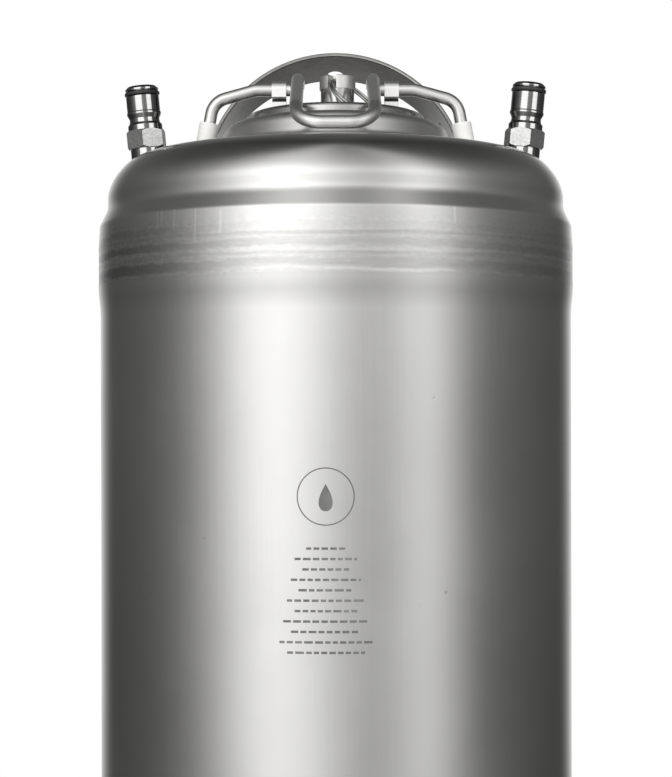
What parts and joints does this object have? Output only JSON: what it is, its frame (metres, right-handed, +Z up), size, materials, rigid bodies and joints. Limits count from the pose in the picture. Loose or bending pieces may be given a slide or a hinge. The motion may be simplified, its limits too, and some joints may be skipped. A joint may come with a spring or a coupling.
{
  "type": "soda keg",
  "caption": "Tall stainless ball-lock keg with a bail-clamped oval lid, relief valve, gas and liquid posts, strap handle and rubber boot.",
  "frame": {"origin": "on the floor under the centre of the keg", "axes": "+Z up along the keg, -Y the side that the bail lever points to, +X the side of the liquid post"},
  "size_m": [0.222, 0.222, 0.6221],
  "materials": {
    "tank_steel": "satin drawn stainless with a bright brushed sheen",
    "handle_steel": "satin stainless strip with bright edges",
    "lid_steel": "satin pressed stainless",
    "bracket_steel": "pale satin stainless strip",
    "wire_steel": "satin drawn stainless rod",
    "post_steel": "polished turned stainless",
    "inner_steel": "plain turned stainless",
    "spring_steel": "bright spring wire",
    "ring_steel": "bright spring wire",
    "valve_cap": "matt pale sintered steel",
    "cap_plastic": "pale grey moulded vinyl",
    "seal_rubber": "black moulded rubber",
    "boot_rubber": "black moulded rubber"
  },
  "bodies": {
    "tank": {"tank_wall": "tank_steel", "top_head": "tank_steel", "bottom_head": "tank_steel", "rubber_boot": "boot_rubber", "carry_handle": "handle_steel", "gas_port_neck": "post_steel", "gas_post_body": "post_steel", "gas_post_o_ring": "seal_rubber", "gas_dip_tube": "inner_steel", "gas_dip_tube_o_ring": "seal_rubber", "gas_poppet_spring": "spring_steel", "liquid_port_neck": "post_steel", "liquid_post_body": "post_steel", "liquid_post_o_ring": "seal_rubber", "liquid_dip_tube": "inner_steel", "liquid_dip_tube_o_ring": "seal_rubber", "liquid_poppet_spring": "spring_steel"},
    "lid": {"lid_plate": "lid_steel", "lid_o_ring": "seal_rubber", "left_bail_bracket": "bracket_steel", "right_bail_bracket": "bracket_steel", "relief_valve_body": "post_steel", "relief_valve_cap": "valve_cap", "relief_valve_nut": "inner_steel", "relief_valve_gasket": "seal_rubber", "relief_valve_spring": "spring_steel"},
    "bail": {"bail_wire": "wire_steel", "left_foot_cap": "cap_plastic", "right_foot_cap": "cap_plastic"},
    "relief_stem": {"relief_valve_stem": "inner_steel", "relief_valve_seal": "seal_rubber"},
    "ring": {"pull_ring": "ring_steel"},
    "gas_valve": {"gas_poppet": "inner_steel", "gas_poppet_seal": "seal_rubber"},
    "liquid_valve": {"liquid_poppet": "inner_steel", "liquid_poppet_seal": "seal_rubber"}
  },
  "joints": [
    {"name": "lid_drop", "type": "slide", "parent": "tank", "child": "lid", "axis": [0, 0, -1], "range_m": [0, 0.004]},
    {"name": "bail_swing", "type": "hinge", "parent": "lid", "child": "bail", "pos_m": [0, 0, 0.5997], "axis": [1, 0, 0], "range_deg": [-100, 0]},
    {"name": "relief_lift", "type": "slide", "parent": "lid", "child": "relief_stem", "axis": [0, 0, 1], "range_m": [0, 0.002], "stiffness_N_per_m": 1500, "springref_m": -0.004, "deforming": ["relief_valve_spring"]},
    {"name": "ring_swing", "type": "hinge", "parent": "relief_stem", "child": "ring", "pos_m": [0.001, 0, 0.6036], "axis": [-0.5878, -0.809, 0], "range_deg": [0, 7]},
    {"name": "gas_poppet_press", "type": "slide", "parent": "tank", "child": "gas_valve", "axis": [0.0941, 0, -0.9956], "range_m": [0, 0.0035], "stiffness_N_per_m": 900, "springref_m": -0.004, "deforming": ["gas_poppet_spring"]},
    {"name": "liquid_poppet_press", "type": "slide", "parent": "tank", "child": "liquid_valve", "axis": [-0.0941, 0, -0.9956], "range_m": [0, 0.0035], "stiffness_N_per_m": 900, "springref_m": -0.004, "deforming": ["liquid_poppet_spring"]}
  ],
  "couplings": [
    {"joint": "lid_drop", "follows": "bail_swing", "m_per_rad": -0.00229}
  ]
}
